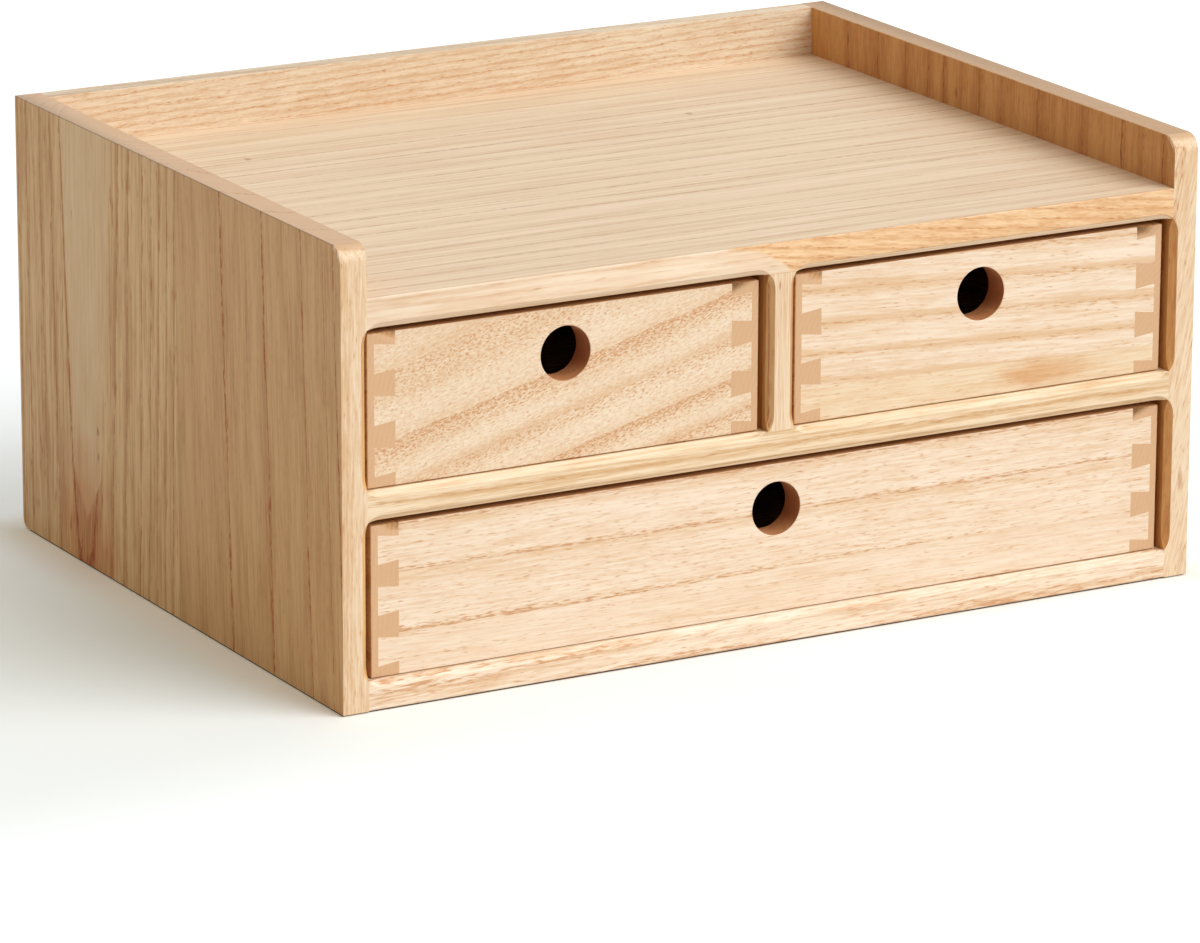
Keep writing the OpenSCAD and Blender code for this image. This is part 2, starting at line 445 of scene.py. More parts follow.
    def pores(self, band: Socket) -> tuple[Socket, Socket]:
        """Scatters short dark pores, thickest in each ring's porous band.

        Args:
            band: How far a point is inside a porous band.

        Returns:
            The mask of the pores, and that of the fainter flecks among them.
        """
        grains = self.along(self.taken["Pore Scale"], 1.0)
        thick = self.math("MULTIPLY_ADD", band, self.taken["Band Pores"], self.taken["Loose Pores"])
        low = self.math("MULTIPLY_ADD", thick, self.PORE_GAIN, self.PORE_EDGE)
        high = self.math("ADD", low, self.PORE_SOFT)
        share = self.math("MULTIPLY_ADD", band, 1.0 - self.LOOSE_FLECKS, self.LOOSE_FLECKS)
        flecks = self.math("MULTIPLY", self.ramp(grains, *self.FLECK_EDGE), share)
        return self.ramp(grains, low, high, 0.0, self.PORE_COVER), flecks

    def line(self, part: Socket, strength: Socket) -> Socket:
        """Draws the thin line where a ring begins, broken up along the fibres.

        Args:
            part: How far a point is through its ring.
            strength: How strong its ring is.

        Returns:
            The mask of the line.
        """
        edge = self.math("SUBTRACT", 1.0, self.ramp(part, 0.0, self.taken["Line Width"]))
        gaps = self.along(self.GAP_SCALE, 2.0)
        broken = self.math("MULTIPLY", edge, self.ramp(gaps, *self.GAP_EDGE))
        return self.math("MULTIPLY", broken, self.math("MULTIPLY", strength, self.taken["Line"]))


# ---- Wood ----------------------------------------------------------------------------------


@dataclass(frozen=True)
class Tone:
    """The colours of one log's wood, as screen colours."""

    pale: Colour
    warm: Colour
    dark: Colour
    end: Colour = (196, 158, 117)


@dataclass(frozen=True)
class Figure:
    """How one log's rings, pores and fibres look."""

    jitter: float = 0.2
    spread: float = 0.4
    band: float = 0.3
    band_pores: float = 0.8
    loose_pores: float = 0.15
    pore_mm: tuple[float, float] = (4.0, 0.6)
    line: float = 0.35
    line_width: float = 0.12
    fleck: float = 0.5
    fibre: float = 1.4
    fibre_mm: tuple[float, float] = (20.0, 1.2)
    cloud: float = 0.8
    late: float = 0.4

    def scale(self, size_mm: tuple[float, float]) -> Triple:
        """Turns a grain's length and width into the scale of its noise."""
        return (1.0 / size_mm[0], 1.0 / size_mm[1], 1.0 / size_mm[1])


@dataclass(frozen=True)
class Log:
    """A log lying where one strip of a board was sawn out of it."""

    pith: Triple
    fibre: Triple | Vector
    spacing_mm: float
    tone: Tone
    figure: Figure
    start: float = 0.0
    seed: float = 0.0
    ring_starts_mm: tuple[float, ...] = ()

    UPRIGHT = 0.9

    def turn(self) -> Matrix:
        """Turns the log's own X along its fibres.

        Returns:
            The turn from the log's directions to the frame's.
        """
        along = Vector(self.fibre).normalized()
        helper = Axis.Z.way if abs(along.z) < self.UPRIGHT else Axis.Y.way
        side = helper.cross(along).normalized()
        return Matrix((along, side, along.cross(side))).transposed()

    def place(self, sheet: NodeSheet) -> Socket:
        """Gives each point its place in the log, in millimetres from the pith.

        Args:
            sheet: The material's nodes.

        Returns:
            The place's socket.
        """
        turn = self.turn().to_euler()
        feeds = {"Vector": sheet.where, "Location": self.pith, "Rotation": turn, "Scale": (MM, MM, MM)}
        return sheet.node("ShaderNodeMapping", feeds, vector_type="TEXTURE").outputs[0]

    def rings(self, sheet: NodeSheet, place: Socket) -> Socket:
        """Counts the rings out from the pith.

        Args:
            sheet: The material's nodes.
            place: The point's place in the log.

        Returns:
            The count, which is whole where a ring begins.
        """
        parts = sheet.node("ShaderNodeSeparateXYZ", {0: place}).outputs
        square = sheet.math("MULTIPLY_ADD", parts[1], parts[1], sheet.math("MULTIPLY", parts[2], parts[2]))
        out = sheet.math("SQRT", square)
        if not self.ring_starts_mm:
            return sheet.math("MULTIPLY_ADD", out, 1.0 / self.spacing_mm, self.start)
        return self.uneven_rings(sheet, out)

    def uneven_rings(self, sheet: NodeSheet, out: Socket) -> Socket:
        """Counts rings that begin at given distances from the pith.

        Args:
            sheet: The material's nodes.
            out: The point's distance from the pith.

        Returns:
            The count, which is whole where a ring begins.
        """
        starts = sorted(self.ring_starts_mm)
        starts = [starts[0] - self.spacing_mm, *starts, starts[-1] + self.spacing_mm]
        span, last = starts[-1] - starts[0], len(starts) - 1
        share = sheet.math("MULTIPLY_ADD", out, 1.0 / span, -starts[0] / span)
        made = sheet.node("ShaderNodeFloatCurve", {"Value": share})
        curve = made.mapping.curves[0]
        for count, start in enumerate(starts[1:-1], start=1):
            curve.points.new((start - starts[0]) / span, count / last)
        for point in curve.points:
            point.handle_type = "VECTOR"
        made.mapping.extend = "EXTRAPOLATED"
        made.mapping.update()
        return sheet.math("MULTIPLY", made.outputs[0], float(last))

    def feeds(self, sheet: NodeSheet) -> dict[str, Feed]:
        """Gathers what the grain of this log needs.

        Args:
            sheet: The material's nodes.

        Returns:
            What goes into the grain group, by the socket's name.
        """
        place = self.place(sheet)
        figure, tone = self.figure, self.tone
        plain = ("jitter", "spread", "band", "band_pores", "loose_pores", "line", "line_width", "fleck",
                 "fibre", "cloud", "late")
        return {
            "Place": place, "Rings": self.rings(sheet, place), "Seed": self.seed,
            "Pore Scale": figure.scale(figure.pore_mm), "Fibre Scale": figure.scale(figure.fibre_mm),
            "Pale": srgb(*tone.pale), "Warm": srgb(*tone.warm), "Dark": srgb(*tone.dark),
            "End Colour": srgb(*tone.end),
            **{name.replace("_", " ").title(): getattr(figure, name) for name in plain},
        }


@dataclass(frozen=True)
class Seam:
    """The plane where one strip of a board ends and the next begins."""

    point: Triple | Vector
    normal: Triple | Vector
    soft_mm: float = 0.15
    glue: float = 0.0

    GLUE_LINE = (0.1 * MM, 0.35 * MM)

    def masks(self, sheet: NodeSheet) -> tuple[Socket, Socket]:
        """Masks what lies beyond the plane, and the thin line of glue in it.

        Args:
            sheet: The material's nodes.

        Returns:
            The two masks.
        """
        depth = self.depth(sheet)
        soft = self.soft_mm * MM
        glue = sheet.ramp(sheet.math("ABSOLUTE", depth), *self.GLUE_LINE, self.glue, 0.0)
        return sheet.ramp(depth, -soft, soft), glue

    def depth(self, sheet: NodeSheet) -> Socket:
        """Measures how far a point lies beyond the plane."""
        off = sheet.vector("SUBTRACT", sheet.where, self.point)
        return sheet.vector("DOT_PRODUCT", off, Vector(self.normal).normalized())


@dataclass(frozen=True)
class RoundSeam(Seam):
    """A round seam: a pipe about the seam's normal through its point."""

    radius_mm: float = 10.0
    inside: bool = False

    def depth(self, sheet: NodeSheet) -> Socket:
        """Measures how far a point lies beyond the pipe's wall, outwards or inwards.

        Args:
            sheet: The material's nodes.

        Returns:
            The distance's socket.
        """
        off = sheet.vector("SUBTRACT", sheet.where, self.point)
        across = sheet.vector("CROSS_PRODUCT", off, Vector(self.normal).normalized())
        beyond = sheet.math("SUBTRACT", sheet.vector("LENGTH", across), self.radius_mm * MM)
        return sheet.math("MULTIPLY", beyond, -1.0 if self.inside else 1.0)


@dataclass(frozen=True)
class Strip:
    """A strip of a board: the log it came from, and the seams that it lies beyond."""

    log: Log
    seams: tuple[Seam, ...] = ()

    def masks(self, sheet: NodeSheet) -> tuple[Socket, Socket]:
        """Masks what lies beyond any of the seams, and the glue lines in them.

        Args:
            sheet: The material's nodes.

        Returns:
            The two masks.
        """
        share, glue = self.seams[0].masks(sheet)
        for seam in self.seams[1:]:
            other, line = seam.masks(sheet)
            share, glue = sheet.math("MAXIMUM", share, other), sheet.math("MAXIMUM", glue, line)
        return share, glue


@dataclass(frozen=True)
class Mark:
    """A small natural mark in the wood, such as a knot or a stain."""

    centre: Triple
    size_mm: Triple
    colour: Colour
    strength: float = 0.6

    RAGGED_SCALE = (2.0, 2.0, 2.0)
    RAGGED = 0.9
    EDGE = (0.7, 1.5)

    def mask(self, sheet: NodeSheet) -> Socket:
        """Masks the mark, with a ragged soft edge.

        Args:
            sheet: The material's nodes.

        Returns:
            The mask.
        """
        scale = tuple(1.0 / (size * MM) for size in self.size_mm)
        off = sheet.vector("MULTIPLY", sheet.vector("SUBTRACT", sheet.where, self.centre), scale)
        noise = sheet.noise(off, self.RAGGED_SCALE, 2.0)
        ragged = sheet.math("MULTIPLY_ADD", noise, self.RAGGED, sheet.vector("LENGTH", off))
        return sheet.ramp(ragged, *self.EDGE, self.strength, 0.0)


@dataclass(frozen=True)
class WoodFinish:
    """A board's finish: the strips that it is made of, under a clear matt coat."""

    name: str
    strips: tuple[Strip, ...]
    fibre: Vector
    marks: tuple[Mark, ...] = ()

    GLUE = (120, 84, 52)
    END_EDGE = (0.55, 0.95)
    RELIEF = 0.3 * MM
    RELIEF_SHARE = 0.12
    GLOSS = 0.4
    HALF = 0.5

    def material(self) -> bpy.types.Material:
        """Builds the board's material.

        Returns:
            The finished material.
        """
        made = bpy.data.materials.new(self.name)
        sheet = NodeSheet.of(made)
        grain, glue = self.grain(sheet)
        color = sheet.blend(glue, grain["Color"], srgb(*self.GLUE))
        for mark in self.marks:
            color = sheet.blend(mark.mask(sheet), color, srgb(*mark.colour), "MULTIPLY")
        relief = {"Strength": self.RELIEF_SHARE, "Distance": self.RELIEF, "Height": grain["Height"]}
        sheet.dress("Principled BSDF", {
            "Base Color": color,
            "Roughness": grain["Roughness"],
            "Specular IOR Level": self.GLOSS,
            "Normal": sheet.node("ShaderNodeBump", relief).outputs[0],
        })
        return made

    def grain(self, sheet: NodeSheet) -> tuple[bpy.types.NodeOutputs, Feed]:
        """Places the grain, fed at each point by the strip that the point lies in.

        Args:
            sheet: The material's nodes.

        Returns:
            What the grain gives, and the mask of the glue lines.
        """
        feeds, glue = self.strips[0].log.feeds(sheet), 0.0
        for strip in self.strips[1:]:
            share, line = strip.masks(sheet)
            other = strip.log.feeds(sheet)
            feeds = {name: self.either(sheet, share, name, feeds[name], other[name]) for name in feeds}
            glue = sheet.math("MAXIMUM", glue, line)
        feeds["End"] = self.end_mask(sheet)
        return sheet.node("ShaderNodeGroup", feeds, node_tree=GrainGroup.shared()).outputs, glue

    def either(self, sheet: NodeSheet, share: Socket, name: str, first: Feed, second: Feed) -> Feed:
        """Chooses what feeds the grain on either side of a seam.

        Args:
            sheet: The material's nodes.
            share: The mask of the second strip.
            name: The grain's socket.
            first: What feeds the first strip's grain.
            second: What feeds the second strip's grain.

        Returns:
            The one value that both strips share, or the socket that chooses between two.
        """
        linked = isinstance(first, Socket) or isinstance(second, Socket)
        if not linked and first == second:
            return first
        kind = GrainGroup.takes[name]
        if kind is SocketKind.RGBA:
            return sheet.blend(share, first, second)
        return sheet.mix(kind, sheet.math("GREATER_THAN", share, self.HALF), first, second)

    def end_mask(self, sheet: NodeSheet) -> Socket:
        """Masks the faces that are cut across the fibres."""
        along = sheet.vector("DOT_PRODUCT", sheet.node("ShaderNodeTexCoord").outputs["Normal"], self.fibre)
        return sheet.ramp(sheet.math("ABSOLUTE", along), *self.END_EDGE)


# ---- Boards --------------------------------------------------------------------------------


@dataclass(frozen=True)
class Eased:
    """Edges that are rounded over: the sharp ones that lie on all the named planes."""

    width: float
    planes: tuple[tuple[Axis, float], ...]
    low: Triple = (-FAR, -FAR, -FAR)
    high: Triple = (FAR, FAR, FAR)

    def holds(self, edge: bmesh.types.BMEdge) -> bool:
        """Says whether an edge is one of these."""
        return all(self.reaches(vert.co) for vert in edge.verts)

    def reaches(self, point: Vector) -> bool:
        """Says whether a point lies on the planes and within the limits."""
        flat = all(abs(point[axis.value] - value) < ON_PLANE for axis, value in self.planes)
        return flat and all(self.low[i] <= point[i] <= self.high[i] for i in range(3))


@dataclass
class Board:
    """A board that stands for one node of the frame, with its edges eased."""

    node: str
    body: str
    slot: Slot
    finish: bpy.types.Material
    eased: list[Eased] = field(default_factory=list)

    SHARP = math.radians(28)
    FLAT = math.radians(0.5)
    WIDEST = 1.0 * MM
    SEGMENTS = 3
    ROUND = 0.5

    def build(self, frame: dict) -> bpy.types.Object:
        """Makes the board from its node's own shape and gives it its body and finish.


        Returns:
            The finished piece.
        """
        mesh = bpy.data.meshes.new(f"{self.node}_board")
        shape = bmesh.new()
        shape.from_mesh(frame["nodes"][self.node].data)
        bmesh.ops.remove_doubles(shape, verts=shape.verts, dist=TOUCH)
        bmesh.ops.dissolve_limit(shape, angle_limit=self.FLAT, verts=shape.verts, edges=shape.edges)
        self.mark_edges(shape)
        shape.to_mesh(mesh)
        shape.free()
        mesh.materials.append(self.finish)
        made = stand(f"{self.node}_board", mesh)
        self.add_modifiers(made)
        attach(made, self.body)
        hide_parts(self.node)
        log.info("%s: %d faces, %d eased rules", made.name, len(mesh.polygons), len(self.eased))
        return made

    def mark_edges(self, shape: bmesh.types.BMesh) -> None:
        """Gives each eased edge its weight and marks the other corners sharp.

        Args:
            shape: The board's shape, which is changed.
        """
        weight = shape.edges.layers.float.new("bevel_weight_edge")
        for face in shape.faces:
            face.smooth = True
        for edge in shape.edges:
            if len(edge.link_faces) != 2 or edge.calc_face_angle() < self.SHARP:
                continue
            widths = [rule.width for rule in self.eased if rule.holds(edge)]
            edge[weight] = max(widths, default=0.0) / self.WIDEST
            edge.smooth = bool(widths)

    def add_modifiers(self, made: bpy.types.Object) -> None:
        """Rounds the weighted edges and keeps the flat faces flat.

        Args:
            made: The board's object.
        """
        if self.eased:
            bevel = made.modifiers.new("eased_edges", "BEVEL")
            bevel.limit_method = "WEIGHT"
            bevel.width = self.WIDEST
            bevel.segments = self.SEGMENTS
            bevel.profile = self.ROUND
        normals = made.modifiers.new("flat_faces", "WEIGHTED_NORMAL")
        normals.keep_sharp = True


@dataclass
class Case:
    """The fixed case: two sides, a top, a shelf, a base, a divider, a back and their dowels."""

    frame: dict
    body: str = "case"
    outer_ease: float = 0.35 * MM
    top_ease: float = 0.6 * MM
    foot_ease: float = 0.9 * MM
    joint_ease: float = 0.2 * MM
    corner: float = 8.0 * MM

    def build(self) -> None:
        """Builds every board of the case, and finishes its dowels."""
        for side in ("left_side", "right_side"):
            self.board(side, Slot.CASE_SIDE, self.side_edges(side))
        for node, eased in self.edges().items():
            self.board(node, Slot.CASE_BOARD, eased)
        for node in ("left_dowels", "right_dowels", "divider_dowels"):
            dowels = self.frame["nodes"][node].data.materials
            dowels.clear()
            dowels.append(bpy.data.materials["dowel_finish"])

    def board(self, node: str, slot: Slot, eased: list[Eased]) -> None:
        """Builds one board of the case, with the finish of its own name."""
        Board(node, self.body, slot, bpy.data.materials[f"{node}_finish"], eased).build(self.frame)

    def side_edges(self, node: str) -> list[Eased]:
        """Eases the edges of one side, most of all its foot.

        Args:
            node: The side's node.

        Returns:
            The eased edges.
        """
        low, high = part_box(node)
        left = node == "left_side"
        outside, inside = (Axis.X, low.x if left else high.x), (Axis.X, high.x if left else low.x)
        nose, foot = (Axis.Y, low.y), (Axis.Z, low.z)
        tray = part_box("top_panel")[1].z
        near = (-FAR, -FAR, high.z - self.corner)
        far = (FAR, low.y + self.corner, FAR)
        return [
            Eased(self.outer_ease, (outside,)),
            Eased(self.foot_ease, (outside, foot)),
            Eased(self.foot_ease, (nose, foot)),
            Eased(self.outer_ease, (inside, (Axis.Z, high.z))),
            Eased(self.outer_ease, (inside,), near, far),
            Eased(self.outer_ease, (inside, nose), (-FAR, -FAR, tray)),
            Eased(self.joint_ease, (inside, nose)),
        ]

    def edges(self) -> dict[str, list[Eased]]:
        """Eases the edges of the boards between the sides.

        Returns:
            The eased edges of each board.
        """
        low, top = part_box("base_panel")[0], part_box("top_panel")[1]
        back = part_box("back_panel")
        nose, crest = (Axis.Y, low.y), (Axis.Z, back[1].z)
        return {
            "top_panel": [Eased(self.top_ease, (nose, (Axis.Z, top.z)))],
            "shelf": [],
            "base_panel": [Eased(self.foot_ease, (nose, (Axis.Z, low.z)))],
            "divider": [],
            "back_panel": [Eased(self.outer_ease, ((Axis.Y, corner.y), crest)) for corner in back],
        }


@dataclass
class Drawer:
    """One drawer: a front with a finger hole, two sides, a back and a thin floor."""

    frame: dict
    name: str
    ease: float = 0.5 * MM
    hole_ease: float = 0.4 * MM
    hole_reach: float = 14.0 * MM

    PARTS = ("front", "left_side", "right_side", "back")

    def build(self) -> None:
        """Builds every board of the drawer."""
        edges = self.box_edges()
        for part in self.PARTS:
            front = part == "front"
            finish = f"{self.name}_front_finish" if front else f"drawer_{part.split('_')[-1]}_finish"
            slot = Slot.DRAWER_FRONT if front else Slot.DRAWER_SIDE
            self.board(part, slot, finish, edges + self.inner_edges(part))
        self.board("floor", Slot.DRAWER_FLOOR, "drawer_floor_finish", [])

    def board(self, part: str, slot: Slot, finish: str, eased: list[Eased]) -> None:
        """Builds one board of the drawer, given its slot, the name of its finish and its eased edges."""
        board = Board(f"{self.name}_{part}", self.name, slot, bpy.data.materials[finish], eased)
        board.build(self.frame)

    def box_edges(self) -> list[Eased]:
        """Eases the edges of the drawer's own box, whichever board they fall on.

        Returns:
            The eased edges.
        """
        corners = [corner for part in self.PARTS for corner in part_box(f"{self.name}_{part}")]
        ends = [[pick(corner[i] for corner in corners) for i in range(3)] for pick in (min, max)]
        pairs = ((Axis.X, Axis.Y), (Axis.X, Axis.Z), (Axis.Y, Axis.Z))
        return [
            Eased(self.ease, ((one, first[one.value]), (two, second[two.value])))
            for one, two in pairs for first in ends for second in ends
        ]

    def inner_edges(self, part: str) -> list[Eased]:
        """Eases a board's inner top edge, and the rims of the finger hole.

        Args:
            part: Which board of the drawer.

        Returns:
            The eased edges.
        """
        low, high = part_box(f"{self.name}_{part}")
        inner = {
            "left_side": (Axis.X, high.x), "right_side": (Axis.X, low.x),
            "back": (Axis.Y, low.y), "front": (Axis.Y, high.y)}[part]
        eased = [Eased(self.ease, (inner, (Axis.Z, high.z)))]
        if part != "front":
            return eased
        middle = (low + high) / 2
        near = (middle.x - self.hole_reach, -FAR, low.z + self.hole_reach)
        far = (middle.x + self.hole_reach, FAR, high.z - TOUCH)
        rims = [Eased(self.hole_ease, ((Axis.Y, face.y),), near, far) for face in (low, high)]
        return eased + rims


# ---- Studio --------------------------------------------------------------------------------


@dataclass(frozen=True)
class Softbox:
    """A large soft lamp aimed at the object, at the level that a white face there shows."""

    name: str
    way: Triple
    distance: float
    size: float
    level: float

    def build(self, aim: Vector) -> None:
        """Hangs the lamp and turns it to the aim.

        Args:
            aim: The point that the lamp looks at.
        """
        lamp = bpy.data.lights.new(self.name, "AREA")
        lamp.shape = "SQUARE"
        lamp.size = self.size
        lamp.energy = self.level * (math.pi * self.distance) ** 2
        away = Vector(self.way).normalized()
        made = stand(self.name, lamp)
        made.location = aim + away * self.distance
        made.rotation_euler = (-away).to_track_quat("-Z", "Y").to_euler()


@dataclass(frozen=True)
class Floor:
    """A pale floor that keeps the case's shadow, with painted light and shade: to the camera it glows least
    by the case and in its shadow, most out in the open, and a painted contact shadow lies under the case.
    """

    size: float = 60.0
    drop: float = 0.6 * MM
    seen_paint: Triple = (0.93, 0.965, 1.0)
    bounce_paint: Triple = (0.8, 0.8, 0.79)
    # Painted contact shadow: dark brown paint under the case's footprint, which shows as a dark line at its
    # foot.
    painted_contact_shadow: Triple = (0.12, 0.08, 0.05)
    roughness: float = 0.9
    gloss: float = 0.1
    # Painted light and shade: the floor glows to the camera least right by the case, a little in the case's
    # shadow, and most out in the open.
    near_painted_shade: Triple = (0.095, 0.08, 0.045)
    shade_glow: Triple = (0.06, 0.085, 0.07)
    open_painted_light: Triple = (0.26, 0.30, 0.32)
    near_reach: tuple[float, float] = (0.0, 0.03)
    far_reach: tuple[float, float] = (0.13, 0.32)
    rear_reach: tuple[float, float] = (-0.05, 0.26)
    front_reach: tuple[float, float] = (0.16, 0.30)
    right_reach: tuple[float, float] = (-0.10, 0.20)
    toe: float = 0.9 * MM
    heel: float = 5.0 * MM

    def build(self) -> None:
        """Lays the floor a hair under the object's feet."""
        mesh = bpy.data.meshes.new("floor")
        shape = bmesh.new()
        bmesh.ops.create_grid(shape, x_segments=1, y_segments=1, size=self.size / 2)
        bmesh.ops.translate(shape, verts=shape.verts, vec=(0.0, 0.0, -self.drop))
        shape.to_mesh(mesh)
        shape.free()
        mesh.materials.append(self.paint())
        stand("floor", mesh)

    def paint(self) -> bpy.types.Material:
        """Mixes the floor's paint: a brown painted contact shadow under the case, pale where the floor
        shows.

        Returns:
            The floor's material.
        """
        made = bpy.data.materials.new("floor_paint")
        sheet = NodeSheet.of(made)
        seen = sheet.seen_directly()
        parts = sheet.node("ShaderNodeSeparateXYZ", {0: sheet.where}).outputs
        beyond = self.beyond(sheet, parts)
        shown = sheet.ramp(beyond, -self.drop, 0.0)
        color = sheet.blend(seen, (*self.bounce_paint, 1.0), (*self.seen_paint, 1.0))
        sheet.dress("Principled BSDF", {
            # Painted shade: under the footprint the floor takes the dark contact-shadow paint.
            "Base Color": sheet.blend(shown, (*self.painted_contact_shadow, 1.0), color),
            "Emission Color": self.glow(sheet, parts, beyond),
            "Emission Strength": sheet.math("MULTIPLY", seen, shown),
            "Roughness": self.roughness,
            "Specular IOR Level": self.gloss,
        })
        return made

    def glow(self, sheet: NodeSheet, parts: bpy.types.NodeOutputs, beyond: Socket) -> Socket:
        """Works out the floor's glow of painted light and shade: least by the case and in its shadow, most
        far away on the open sides.

        Args:
            sheet: The floor's nodes.
            parts: The place's three coordinates.
            beyond: How far the place lies beyond the case.

        Returns:
            The glow's colour.
        """
        front = sheet.math("MULTIPLY", parts[1], -1.0)
        away = sheet.ramp(beyond, *self.far_reach)
        ways = ((parts[1], self.rear_reach), (front, self.front_reach), (parts[0], self.right_reach))
        for way, reach in ways:
            away = sheet.math("MAXIMUM", away, sheet.ramp(way, *reach))
        # Painted shadow: the glow stays low where the case's shadow falls and rises out in the open.
        glow = sheet.blend(away, (*self.shade_glow, 1.0), (*self.open_painted_light, 1.0))
        # Painted shade: a weak, warm glow right next to the case.
        return sheet.blend(sheet.ramp(beyond, *self.near_reach), (*self.near_painted_shade, 1.0), glow)

    def beyond(self, sheet: NodeSheet, parts: bpy.types.NodeOutputs) -> Socket:
        """Measures how far a place on the floor lies beyond the case's footprint.

        Args:
            sheet: The floor's nodes.
            parts: The place's three coordinates.

        Returns:
            The distance, which is negative under the case.
        """
        low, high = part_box("left_side")[0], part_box("right_side")[1]
        off_x = sheet.math("SUBTRACT", sheet.math("ABSOLUTE", parts[0]), high.x)
        off_front = sheet.math("SUBTRACT", low.y + self.toe, parts[1])
        off_back = sheet.math("SUBTRACT", parts[1], high.y - self.heel)
        return sheet.math("MAXIMUM", off_x, sheet.math("MAXIMUM", off_front, off_back))


@dataclass(frozen=True)
class Studio:
    """A pale floor under soft light, and the camera."""

    ambient: float = 0.40
    ambient_tint: Triple = (1.0, 0.92, 0.79)
    aim: Triple = (0.0, 0.0, 0.08)
    lamps: tuple[Softbox, ...] = (
        Softbox("key_softbox", (0.45, -0.62, 0.64), distance=15.0, size=12.0, level=0.90),
        Softbox("overhead_softbox", (0.1, 0.1, 1.0), distance=15.0, size=10.0, level=0.05),
    )
    sensor_mm: float = 36.0
    lens_mm: float = 202.672
    camera_place: Triple = (-1.35847, -2.40222, 0.83131)
    camera_turn: Triple = (73.897, -0.2118, -29.4373)
    sight: float = 200.0

    def build(self) -> None:
        """Lays the floor, hangs the lamps and sets the camera up."""
        self.sky()
        Floor().build()
        for lamp in self.lamps:
            lamp.build(Vector(self.aim))
        self.camera()
        bpy.context.scene.view_settings.view_transform = "Standard"

    def sky(self) -> None:
        """Makes the white surround: plain white to look at, dimmer as a light."""
        world = bpy.data.worlds.new("surround")
        bpy.context.scene.world = world
        sheet = NodeSheet.of(world)
        shade = tuple(self.ambient * part for part in self.ambient_tint)
        color = sheet.blend(sheet.seen_directly(), (*shade, 1.0), (1.0, 1.0, 1.0, 1.0))
        sheet.dress("Background", {"Color": color})

    def camera(self) -> None:
        """Sets the camera up at the object's viewing angle, with a long lens."""
        lens = bpy.data.cameras.new("camera")
        lens.sensor_fit = "HORIZONTAL"
        lens.sensor_width = self.sensor_mm
        lens.lens = self.lens_mm
        lens.clip_end = self.sight
        made = stand("camera", lens)
        made.location = self.camera_place
        made.rotation_euler = tuple(math.radians(turn) for turn in self.camera_turn)
        bpy.context.scene.camera = made


# ---- Finishes ------------------------------------------------------------------------------

PALE = Tone((244, 224, 194), (220, 182, 136), (192, 142, 96), (208, 170, 128))
POST = Tone((243, 224, 199), (222, 184, 146), (188, 136, 96))
TOP_PALE = Tone((244, 223, 196), (220, 188, 152), (176, 134, 98), (208, 170, 128))
RIM = Tone((235, 221, 198), (214, 180, 143), (204, 148, 104))
BASE = Tone((248, 232, 212), (226, 192, 156), (208, 154, 112))
FRONT = Tone((246, 229, 209), (228, 194, 156), (203, 150, 106), (176, 114, 70))
FRONT_DEEP = Tone((243, 226, 202), (223, 187, 149), (204, 150, 104), (176, 114, 70))
FRONT_CALM = Tone((241, 221, 192), (226, 190, 146), (200, 150, 104), (176, 114, 70))
GRAINY = Tone((242, 207, 164), (216, 165, 114), (200, 140, 92), (176, 114, 70))
FACE = Tone((241, 219, 190), (218, 179, 136), (190, 132, 86), (214, 176, 138))
HEART = Tone((236, 204, 160), (222, 182, 130), (190, 132, 80), (214, 176, 138))
SIDE_PALE = Tone((234, 196, 142), (198, 146, 88), (180, 104, 52), (216, 182, 148))
SIDE_RIGHT = Tone((236, 199, 145), (200, 148, 90), (172, 96, 46), (194, 156, 118))
SIDE_TAN = Tone((223, 179, 122), (193, 139, 81), (178, 98, 46), (216, 182, 148))
# Darker, warmer tone that stands partly for painted shade: on the undersides over the drawers, the
# divider's walls inside the openings and the right side's inner face.
INNER_SHADE = Tone((216, 160, 96), (186, 120, 60), (136, 78, 40), (206, 166, 126))
# Painted shade: the darker tone of the divider's chamfers, which face away from the light.
CHAMFER_SHADE = Tone((218, 174, 120), (186, 136, 84), (156, 98, 54))
# Painted shade: the dark, reddish tone of the finger holes' walls.
HOLE_SHADE = Tone((218, 158, 108), (190, 126, 82), (140, 82, 48), (172, 104, 66))
# Tone of the drawers' sides and backs, darker than their fronts; on the fronts' top edges it stands for
# painted shade in the gap above each drawer.
WALL = Tone((220, 174, 126), (192, 142, 92), (160, 106, 62), (217, 178, 140))

STREAKS = Figure(
    jitter=0.12, spread=0.5, band=0.2, band_pores=0.6, loose_pores=0.3, pore_mm=(9.0, 1.6), line=1.4,
    line_width=0.11, fleck=0.7, fibre=2.4, fibre_mm=(50.0, 1.7), cloud=1.2, late=0.5)
PLAIN_LINES = Figure(
    jitter=0.13, spread=0.3, band=0.06, band_pores=0.6, pore_mm=(5.0, 1.2), line=1.9,
    line_width=0.05, fleck=0.6, fibre=1.7, fibre_mm=(30.0, 1.4), cloud=1.4, late=0.2)
STILL = Figure(
    jitter=0.1, spread=0.8, band=0.2, band_pores=0.3, pore_mm=(9.0, 1.4), line=0.25, fibre=2.0,
    fibre_mm=(40.0, 1.8), late=0.2)
DASHES = Figure(
    jitter=0.3, loose_pores=0.3, pore_mm=(5.0, 0.9), line=0.6, fleck=0.8, fibre=2.2,
    fibre_mm=(16.0, 0.9), late=0.5)
PATCHY = Figure(
    jitter=0.15, spread=0.7, band=0.4, band_pores=0.5, loose_pores=0.2, line=1.4,
    line_width=0.06, fleck=0.6, fibre=1.6, fibre_mm=(12.0, 1.1), cloud=1.2, late=0.5)
PLANED = Figure(
    jitter=0.14, spread=0.6, band=0.12, band_pores=0.25, loose_pores=0.0, line=1.0, line_width=0.08,
    fleck=0.2, fibre=1.8, fibre_mm=(80.0, 1.6), cloud=0.6, late=0.3)
